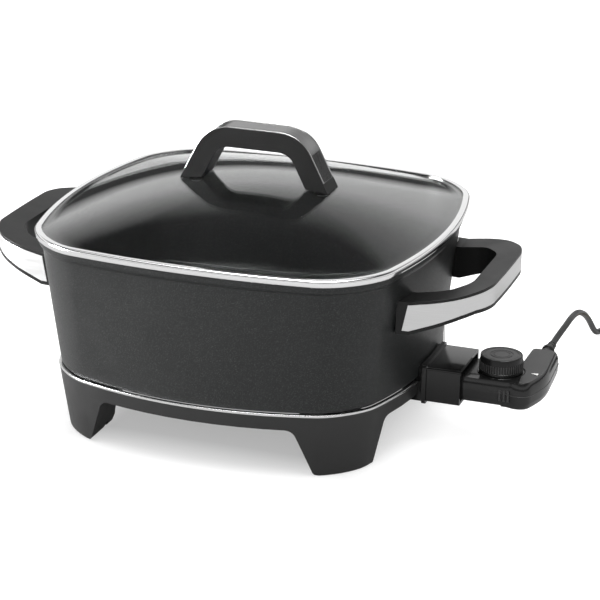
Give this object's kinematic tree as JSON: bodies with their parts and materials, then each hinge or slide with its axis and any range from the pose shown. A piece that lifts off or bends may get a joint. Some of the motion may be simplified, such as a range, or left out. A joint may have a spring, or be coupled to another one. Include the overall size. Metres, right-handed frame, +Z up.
{
  "type": "electric skillet",
  "caption": "Countertop electric skillet with a domed lift-off glass lid, two side handles with steel inlays, and an unpluggable heat controller with a dial and cord.",
  "frame": {"origin": "middle of the footprint of the skillet with its controller, on the table under the feet", "axes": "+X towards the heat controller, +Y towards the back, +Z up"},
  "size_m": [0.5106, 0.4297, 0.2244],
  "materials": {
    "pan_coating": "satin dark grey coating with fine metallic speckle",
    "heater_sheath": "oxidised sheath",
    "contact_metal": "plain",
    "ceramic": "glazed ceramic",
    "cast_aluminium": "as cast",
    "black_plastic": "satin",
    "bright_chrome": "polished",
    "screw_steel": "plain",
    "brushed_inlay": "fine brushed",
    "black_gloss": "glossy",
    "clear_glass": "clear",
    "grey_strip": "brushed grey",
    "black_rubber": "matte",
    "grey_plate": "satin grey",
    "lens_white": "translucent white",
    "lamp_glass": "clear"
  },
  "bodies": {
    "skillet": {"pan": "pan_coating", "heating_element": "heater_sheath", "terminal_pins": "contact_metal", "pin_insulators": "ceramic", "probe_well": "cast_aluminium", "base_frame": "black_plastic", "seam_trim": "bright_chrome", "base_screws": "screw_steel", "handle_right": "black_plastic", "handle_left": "black_plastic", "handle_inlay_right": "brushed_inlay", "handle_inlay_left": "brushed_inlay", "handle_screws": "screw_steel", "terminal_guard": "black_gloss", "guard_screws": "screw_steel"},
    "lid": {"lid_glass": "clear_glass", "lid_band": "bright_chrome", "lid_handle": "black_plastic", "lid_handle_strip": "grey_strip", "lid_handle_gaskets": "black_rubber", "lid_handle_washers": "black_rubber", "lid_handle_screws": "screw_steel"},
    "controller": {"controller_upper_shell": "black_gloss", "controller_lower_shell": "black_plastic", "controller_top_plate": "grey_plate", "pilot_lens": "lens_white", "pilot_lamp": "lamp_glass", "dial_seat": "black_gloss", "contact_sleeves": "contact_metal", "sensor_probe": "bright_chrome", "thermostat_frame": "screw_steel", "bimetal_blade": "contact_metal", "switch_contacts": "contact_metal", "controller_screws": "screw_steel", "strain_relief": "black_rubber", "cord": "black_rubber", "cord_coil": "black_rubber", "cord_lead": "black_rubber", "cord_tie": "black_plastic", "plug": "black_rubber", "plug_blades": "contact_metal"},
    "dial": {"dial_knob": "black_plastic", "dial_cap": "grey_plate", "dial_shaft": "screw_steel", "dial_clip": "screw_steel"}
  },
  "joints": [
    {"name": "lid_lift", "type": "slide", "parent": "skillet", "child": "lid", "axis": [0, 0, 1], "range_m": [0, 0.12]},
    {"name": "controller_unplug", "type": "slide", "parent": "skillet", "child": "controller", "axis": [1, 0, 0], "range_m": [0, 0.1]},
    {"name": "dial_turn", "type": "hinge", "parent": "controller", "child": "dial", "pos_m": [0.1799, 0, 0.06], "axis": [0, 0, -1], "range_deg": [0, 270]}
  ]
}
